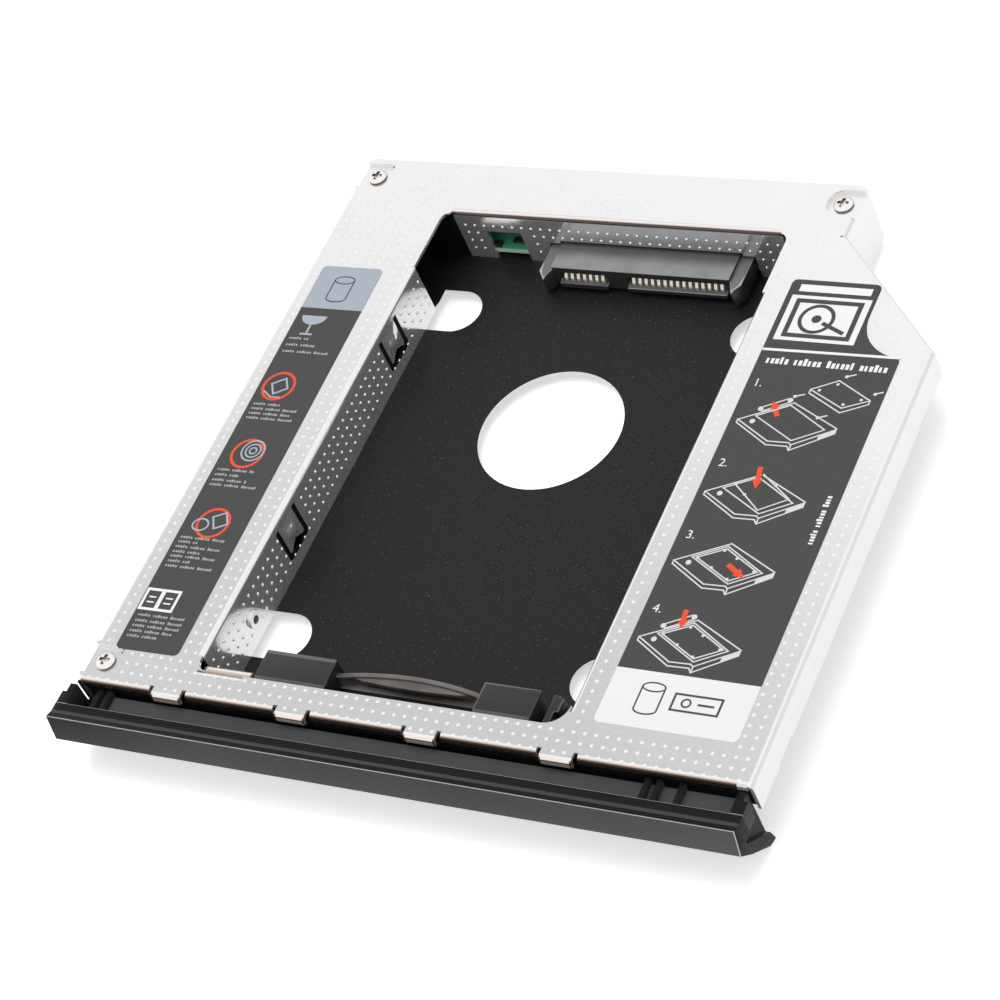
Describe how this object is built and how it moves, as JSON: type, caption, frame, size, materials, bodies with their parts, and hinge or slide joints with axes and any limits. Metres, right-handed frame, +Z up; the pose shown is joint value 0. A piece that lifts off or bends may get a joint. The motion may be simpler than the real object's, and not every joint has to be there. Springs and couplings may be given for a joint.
{
  "type": "laptop drive caddy",
  "caption": "Slim-bay caddy that holds a 2.5-inch drive in place of a laptop's optical drive, with connectors and a lift-out locking bar.",
  "frame": {"origin": "under the middle of the whole caddy, at the height of the bezel's lowest edge", "axes": "+X to the right as seen from the bezel, +Y to the rear edge with the host connector, +Z up to the open side of the bay"},
  "size_m": [0.1304, 0.1348, 0.0145],
  "materials": {
    "shell_aluminium": "bright dimpled sheet",
    "pan_paint": "fine matt black paint with bright cut edges",
    "bezel_plastic": "satin dark grey",
    "bar_plastic": "satin black",
    "board_green": "green lacquer over glass fibre",
    "capacitor_ceramic": "ceramic with tinned ends",
    "screw_steel": "plated",
    "connector_plastic": "moulded grey plastic",
    "contact_gold": "gold plated",
    "post_steel": "turned",
    "nut_steel": "plated",
    "left_print": "printed sticker with simple shapes",
    "right_print": "printed sticker with simple shapes"
  },
  "bodies": {
    "caddy": {"top_shell": "shell_aluminium", "bottom_pan": "pan_paint", "bezel": "bezel_plastic", "circuit_board": "board_green", "board_capacitors": "capacitor_ceramic", "board_screw_left": "screw_steel", "board_screw_right": "screw_steel", "drive_connector": "connector_plastic", "drive_signal_contacts": "contact_gold", "drive_power_contacts": "contact_gold", "host_connector": "connector_plastic", "host_signal_contacts": "contact_gold", "host_power_contacts": "contact_gold", "screw_rear_left": "screw_steel", "screw_rear_right": "screw_steel", "screw_front_left": "screw_steel", "post_rear_left": "post_steel", "post_rear_right": "post_steel", "post_front_left": "post_steel", "side_nut": "nut_steel", "left_label": "left_print", "right_label": "right_print"},
    "locking_bar": {"locking_bar": "bar_plastic"}
  },
  "joints": [
    {"name": "bar_lift", "type": "slide", "parent": "caddy", "child": "locking_bar", "axis": [0, 0, 1], "range_m": [0, 0.014]}
  ]
}
